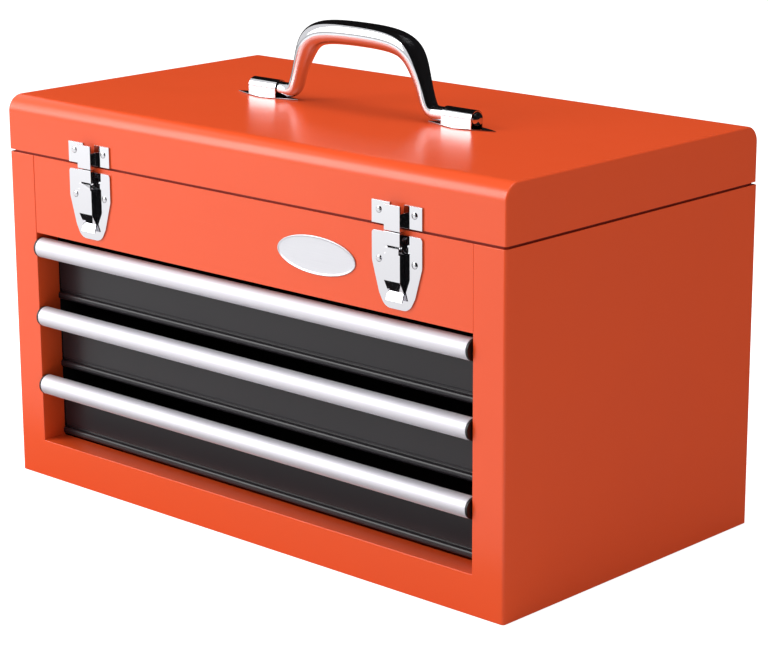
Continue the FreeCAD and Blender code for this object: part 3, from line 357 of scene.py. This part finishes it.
def flat_skin(name, node, body, slot, edge):
    """The construction's own sheet, with its edges rounded and its flats kept flat."""
    dress(name, copy_of(name, node), body, slot, (node,), bevel=edge, even=True)


flat_skin("case_skin", "case_shell", "case", "case_paint", 0.4)
flat_skin("rail_skin", "front_rail", "case", "case_paint", 0.3)
for level in LEVELS:
    flat_skin("front_skin_" + level, "drawer_front_" + level, "drawer_" + level, "drawer_paint", 0.35)


def make_pull(level):
    """Aluminium nose: a sheet open to the back, with two ribs that grip the drawer's flange.

    Its two faces are arcs about one line, radius times (cos t, sin t), for t from one edge of the open
    back round the front to the other, carried along X. The ribs are flat bars beside the middle plane.
    """
    body, node = "drawer_" + level, "drawer_pull_" + level
    low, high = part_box(node)
    start, end, back = low.x * 1000, high.x * 1000, high.y * 1000
    radius, wall, rib_near, rib_far = 8.0, 1.5, 0.4, 1.9
    centre = (low.y * 1000 + radius, (low.z + high.z) * 500)
    faces = []
    for reach in (radius, radius - wall):
        open_turn = math.degrees(math.acos((back - centre[0]) / reach))
        faces.append(arc(centre, reach, open_turn, 360 - open_turn, 48))
    nose = from_grids("pull_" + level, band(*faces, start, end))
    dress("pull_" + level, nose, body, "pull_aluminium", (node,), bevel=0.3)
    # The ribs start inside the nose's wall
    root = centre[0] - radius + wall * 0.8
    for side, name in ((1, "upper"), (-1, "lower")):
        near, far = [[(root, centre[1] + side * rise), (back, centre[1] + side * rise)]
                     for rise in (rib_near, rib_far)]
        rib = from_grids("pull_rib", band(near, far, start, end))
        dress("pull_rib_%s_%s" % (level, name), rib, body, "pull_aluminium")
    skin, caps = "cap_skin_" + level, "pull_caps_" + level
    dress(skin, copy_of(skin, caps), body, "cap_plastic", (caps,), bevel=0.45, segments=3)


for level in LEVELS:
    make_pull(level)


# Handle

# Poles of the bail's centre line, in shares of its half length and of its height
BAIL_SHARES = np.array(((1.0, 0.0), (0.95, 0.0), (0.86, 0.0), (0.81, 0.28),
                        (0.72, 0.66), (0.6, 0.96), (0.28, 1.0), (0.0, 1.0)))
BAIL_HALF, BAIL_HEIGHT = 82.0, 51.3
# Radii of the bar in the saddles, of the leg and of the grip, then the bar's end and its rounding
BAR, LEG, GRIP, BAR_END, BAR_ROUND = 5.5, 6.4, 9.4, 120.5, 4.4
# Shares of the half line over which bar turns to leg, where the grip starts to swell and how far it takes
LEG_FULL, GRIP_START, GRIP_SWELL = 0.15, 0.2, 0.35


def spline(poles, places, degree=3):
    """A clamped B-spline: the sum of the poles, each times its basis.

    The basis of order 0 is 1 between two knots. Each next order blends two neighbours, the one rising
    with the distance from its first knot and the other falling with the distance to its last.
    """
    spans = len(poles) - degree
    knots = np.concatenate([np.zeros(degree), np.arange(spans + 1), np.full(degree, spans)])
    places = np.clip(places * spans, 0, spans - 1e-9)[:, None]
    basis = ((knots[:-1] <= places) & (places < knots[1:])).astype(float)
    for order in range(1, degree + 1):
        left = knots[order:-1] - knots[:-order - 1]
        right = knots[order + 1:] - knots[1:-order]
        up = (places - knots[:-order - 1]) / np.where(left > 0, left, 1) * (left > 0)
        down = (knots[order + 1:] - places) / np.where(right > 0, right, 1) * (right > 0)
        basis = up * basis[:, :-1] + down * basis[:, 1:]
    return basis @ poles


def ease(share):
    """A smooth step: three squares less two cubes."""
    share = np.clip(share, 0, 1)
    return share * share * (3 - 2 * share)


def make_bail():
    """The bail: a circle carried along its line, from bar through leg to grip, with rounded ends.

    A point is the line's point plus radius times (sin t times the line's normal, cos t along Y). The
    radius eases from bar to leg, then to grip, and follows a quarter circle at each end.
    """
    line = spline(BAIL_SHARES * (BAIL_HALF, BAIL_HEIGHT), np.linspace(0, 1, 160))
    length = np.concatenate([[0], np.cumsum(np.hypot(*np.diff(line, axis=0).T))])
    share = np.linspace(0, 1, 72)
    line = np.stack([np.interp(share * length[-1], length, line[:, axis]) for axis in (0, 1)], -1)
    root = BAR + (LEG - BAR) * ease(share / LEG_FULL)
    radius = root + (GRIP - root) * ease((share - GRIP_START) / GRIP_SWELL)
    turn = np.radians(np.linspace(90, 0, 8))
    end = np.stack([BAR_END - BAR_ROUND * (1 - np.sin(turn)), np.zeros(8)], -1)
    end_radius = BAR - BAR_ROUND * (1 - np.cos(turn))
    path = np.concatenate([[[BAR_END, 0]], end, line])
    radius = np.concatenate([[0], end_radius, radius])
    path = np.concatenate([path, (path * (-1, 1))[::-1][1:]])
    radius = np.concatenate([radius, radius[::-1][1:]])
    # The way along the line: at its two ends the bar runs along X
    way = np.gradient(path, axis=0)
    way[0], way[-1] = (-1, 0), (-1, 0)
    way /= np.linalg.norm(way, axis=1, keepdims=True)
    spin = np.linspace(0, 2 * np.pi, 49)
    up = radius[:, None] * np.sin(spin)
    grid = np.empty((*up.shape, 3))
    grid[..., 0] = path[:, :1] - way[:, 1:] * up
    grid[..., 1] = AXIS_FORWARD + radius[:, None] * np.cos(spin)
    grid[..., 2] = AXIS_HEIGHT + path[:, 1:] + way[:, :1] * up
    dress("bail", from_grids("bail", [grid]), "handle", "chrome", ("handle_bail",), sharp=60)


def make_saddle(hand, side):
    """A pointed plate, domed a little, and a strap bent over the bar.

    Plate: at the share s of its half length, its half width is wide times (1 - |s| to the power point),
    and its section is a ring of cos t and sin t, each to a power below 1, which squares it off. The dome
    sinks to its edge share by (1 - s to the eighth). Strap: two legs and a half circle over the bar,
    carried along X.
    """
    low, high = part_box("handle_saddle_" + hand)
    middle, half = (low.x + high.x) * 500, (high.x - low.x) * 500
    wide = (high.y - low.y) * 500
    point, square_across, square_up, half_thick, edge_share = 1.4, 0.5, 0.7, 0.6, 0.3
    share = np.sin(np.linspace(-np.pi / 2, np.pi / 2, 49))[:, None]
    turn = np.linspace(0, 2 * np.pi, 41)
    across = np.sign(np.cos(turn)) * np.abs(np.cos(turn)) ** square_across
    rise = np.sign(np.sin(turn)) * np.abs(np.sin(turn)) ** square_up
    grid = np.empty((len(share), len(turn), 3))
    grid[..., 0] = middle + half * share
    grid[..., 1] = AXIS_FORWARD + wide * (1 - np.abs(share) ** point) * across
    dome = (1 - share ** 8) * (1 - edge_share) + edge_share
    grid[..., 2] = LID_TOP + half_thick + half_thick * rise * dome
    plate = from_grids("saddle_plate", [grid])
    # The strap clears the bar, its feet start inside the plate, and near and far are its ends along X
    inner, outer, foot, near, far = BAR + 0.05, BAR + 1.25, LID_TOP + 0.3, 87.0, 117.0
    profiles = [np.concatenate([[[AXIS_FORWARD + radius, foot]],
                                arc((AXIS_FORWARD, AXIS_HEIGHT), radius, 0, 180, 24),
                                [[AXIS_FORWARD - radius, foot]]]) for radius in (outer, inner)]
    strap = from_grids("saddle_strap", band(*profiles, side * near, side * far))
    dress("saddle_strap_" + hand, strap, "lid", "chrome", bevel=0.4, segments=3)
    dress("saddle_plate_" + hand, plate, "lid", "chrome", ("handle_saddle_" + hand,), sharp=60)


make_bail()
make_saddle("left", -1)
make_saddle("right", 1)


# Latches, rivets and badge

def make_rivets(name, node, body, places, face, grip, inward, slot="chrome"):
    """Rivets: a profile of dome, shank and tail turned round an axis along Y at each place.

    The dome is (head times cos t, rise times (0.15 + 0.85 sin t)), for t from a quarter turn to 0.
    """
    head, rise, shank, tail, edge = 2.6, 1.1, 1.5, 0.55, 0.35
    turn = np.radians(np.linspace(90, 0, 7))
    dome = np.stack([head * np.cos(turn), -rise * (0.15 + 0.85 * np.sin(turn))], -1)
    rest = np.array([[head, 0], [shank, 0], [shank, grip], [head, grip], [head, grip + edge],
                     [head - 0.4, grip + tail], [0, grip + tail]])
    profile = np.concatenate([dome, rest])
    spin = np.linspace(0, 2 * np.pi, 25)
    grids = []
    for x, z in places:
        grid = np.empty((len(profile), len(spin), 3))
        grid[..., 0] = x + profile[:, :1] * np.cos(spin)
        grid[..., 1] = face + inward * profile[:, 1:]
        grid[..., 2] = z + profile[:, :1] * np.sin(spin)
        grids.append(grid)
    dress(name, from_grids(name, grids), body, slot, (node,), sharp=50)


# The latches' middles along X, the thickness of their plates and of the hinge's leaves
LATCHES = {"left": -162.0, "right": 162.0}
LATCH_PLATE, LEAF = 1.2, 1.0
# How far a latch's rivets stand from its middle, and the hinge's rivets from first to last
LATCH_RIVET_OUT, HINGE_RIVET_SPAN, HINGE_RIVETS = 16.8, 421.2, 5
latch_xs = [middle + side * LATCH_RIVET_OUT for middle in LATCHES.values() for side in (-1, 1)]
for name, body, height in (("keeper_rivets", "lid", 278.6), ("base_rivets", "case", 243.6)):
    places = [(x, height) for x in latch_xs]
    make_rivets(name, "latch_rivets_" + body, body, places, FRONT - LATCH_PLATE, SHEET + LATCH_PLATE, 1)
for body in ("case", "lid"):
    name, node = "hinge_dots_" + body, "hinge_rivets_" + body
    low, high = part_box(node)
    places = [(x, (low.z + high.z) * 500) for x in HINGE_RIVET_SPAN * np.linspace(-0.5, 0.5, HINGE_RIVETS)]
    make_rivets(name, node, body, places, BACK + LEAF, SHEET + LEAF, -1, "zinc_steel")

for hand in LATCHES:
    for kind, body, width in (("keeper", "lid", 0.3), ("base", "case", 0.35),
                              ("lever", "latch_lever_" + hand, 0.3), ("claw", "latch_claw_" + hand, 0.25)):
        name, node = "%s_skin_%s" % (kind, hand), "latch_%s_%s" % (kind, hand)
        dress(name, copy_of("skin", node), body, "chrome", (node,), bevel=width, segments=3)


def make_badge():
    """A bare oval plate: a shallow dish with a fine raised rim, rounded down to its back.

    Its rings are (half width less inset) cos t by (half height less inset) sin t, each ring with its
    own rise above the case. The inset is half the height times (1 - share), and the share 0 is a point.
    """
    low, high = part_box("badge_plate")
    x, z = (low.x + high.x) * 500, (low.z + high.z) * 500
    half, tall = (high.x - low.x) * 500, (high.z - low.z) * 500
    shares = np.array([0, 0.5, 0.86, 0.9, 0.925, 0.95, 0.97, 0.985, 0.995, 1.0, 1.0, 0.0])[:, None]
    rises = np.array([0.62, 0.62, 0.62, 0.66, 0.86, 0.98, 1.0, 0.94, 0.8, 0.55, 0.0, 0.0])[:, None]
    inset = (1 - shares) * tall
    turn = np.linspace(0, 2 * np.pi, 97)
    grid = np.empty((len(shares), len(turn), 3))
    grid[..., 0] = x + np.where(shares == 0, 0, (half - inset) * np.cos(turn))
    grid[..., 1] = FRONT - rises
    grid[..., 2] = z + np.where(shares == 0, 0, (tall - inset) * np.sin(turn))
    dress("badge", from_grids("badge", [grid]), "case", "badge_metal", ("badge_plate",), sharp=70)


make_badge()

# The lip under the lid gets a darker red than the case, a guess: painted shade that makes the seam dark
OWN_FINISHES = {"rim_lip": "lip_painted_shade"}
for part in frame["record"]["subparts"]:
    node = frame["nodes"][part["node"]]
    node.data.materials.clear()
    node.data.materials.append(FINISHES[OWN_FINISHES.get(part["node"], part["material_slot"])])


# Floor, backdrop and lamps

def sheet_grid(xs, ys, height):
    """A level grid: each of the ys is a row of all the xs."""
    side, back = np.meshgrid(xs, ys)
    return np.stack([side, back, np.full(side.shape, height)], -1)


# The floor lies just under the box, and the dark mat between the two
FLOOR_HEIGHT, MAT_HEIGHT, FLOOR_HALF = -0.2, -0.1, 6000.0


def make_floor():
    """A white floor that keeps the soft shadow: it glows for the camera and faintly in reflections."""
    reach = np.array([-FLOOR_HALF, FLOOR_HALF])
    mesh = from_grids("floor", [sheet_grid(reach, reach, FLOOR_HEIGHT)])
    floor = bpy.data.objects.new("floor", mesh)
    bpy.context.scene.collection.objects.link(floor)
    material = bpy.data.materials.new("white_floor")
    material.use_nodes = True
    tree = material.node_tree
    shader = tree.nodes["Principled BSDF"]
    shader.inputs["Base Color"].default_value = linear("#E7E7E7")
    shader.inputs["Roughness"].default_value = 0.9
    shader.inputs["Specular IOR Level"].default_value = 0.0
    shader.inputs["Emission Color"].default_value = linear("#FFFFFF")
    camera_glow, mirror_glow = 0.72, 0.15
    path = add(tree, "ShaderNodeLightPath")
    for_camera = ramp(tree, path.outputs["Is Camera Ray"], 0.0, camera_glow, 0, 1)
    for_mirrors = ramp(tree, path.outputs["Is Glossy Ray"], 0.0, mirror_glow, 0, 1)
    glow = add(tree, "ShaderNodeMath", {0: for_camera, 1: for_mirrors}, operation="MAXIMUM")
    tree.links.new(glow.outputs[0], shader.inputs["Emission Strength"])
    mesh.materials.append(material)


def black_cloth(name, mesh):
    """Black cloth that only reflections see: it casts no shadow and the camera looks through it."""
    cloth = bpy.data.objects.new(name, mesh)
    bpy.context.scene.collection.objects.link(cloth)
    material = bpy.data.materials.new(name)
    material.use_nodes = True
    shader = material.node_tree.nodes["Principled BSDF"]
    shader.inputs["Base Color"].default_value = linear("#1D1D1E")
    shader.inputs["Roughness"].default_value = 1.0
    shader.inputs["Specular IOR Level"].default_value = 0.0
    mesh.materials.append(material)
    cloth.visible_camera = cloth.visible_diffuse = cloth.visible_transmission = cloth.visible_shadow = False


def make_flags():
    """A dark ball round the object, open to the front left, and a dark mat just over the floor.

    Ball: radius times (sin a cos b, sin a sin b, cos a) for a from the opening's half angle to a half
    turn, about the way to the opening. Mat: an even grid under the box, to its right and behind.
    """
    radius, middle, opening, half_angle = 760.0, (0, 0, 160.0), (-0.76, -0.63, 0.12), 52
    turn = np.array(Vector(opening).normalized().to_track_quat("Z", "Y").to_matrix())
    tilts = np.radians(np.linspace(half_angle, 180, 33))
    tilt, spin = np.meshgrid(tilts, np.linspace(0, 2 * np.pi, 49), indexing="ij")
    ball = np.stack([np.sin(tilt) * np.cos(spin), np.sin(tilt) * np.sin(spin), np.cos(tilt)], -1)
    black_cloth("dark_surround", from_grids("dark_surround", [ball @ turn.T * radius + middle]))
    left, right, front, back = -620, 900, -245, 900
    mat = sheet_grid(np.linspace(left, right, 12), np.linspace(front, back, 12), MAT_HEIGHT)
    black_cloth("dark_underfoot", from_grids("dark_underfoot", [mat]))


def make_lamp(name, place, size, power, target=(0, 0, 0.15)):
    """A soft square lamp that looks at a point."""
    data = bpy.data.lights.new(name, "AREA")
    data.shape, data.size, data.energy = "SQUARE", size, power
    lamp = bpy.data.objects.new(name, data)
    way = Vector(target) - Vector(place)
    lamp.matrix_world = Matrix.Translation(place) @ way.to_track_quat("-Z", "Y").to_matrix().to_4x4()
    bpy.context.scene.collection.objects.link(lamp)


def make_world():
    """Even soft daylight on the object, and plain white where the camera or a mirror looks at it."""
    world = bpy.data.worlds.new("studio")
    bpy.context.scene.world = world
    world.use_nodes = True
    tree = world.node_tree
    path = add(tree, "ShaderNodeLightPath")
    seen = add(tree, "ShaderNodeMath", {0: path.outputs["Is Camera Ray"], 1: path.outputs["Is Glossy Ray"]},
               operation="MAXIMUM")
    back = tree.nodes["Background"]
    back.inputs["Color"].default_value = linear("#FFFFFF")
    on_object, seen_straight = 0.5, 1.0
    tree.links.new(ramp(tree, seen.outputs[0], on_object, seen_straight, 0, 1), back.inputs["Strength"])


make_floor()
make_flags()
make_world()
for name, place, size, power in (("front_left", (-1.6, -1.9, 1.3), 1.6, 43.0),
                                 ("overhead", (0.1, -0.2, 2.3), 1.4, 24.0)):
    make_lamp(name, place, size, power)
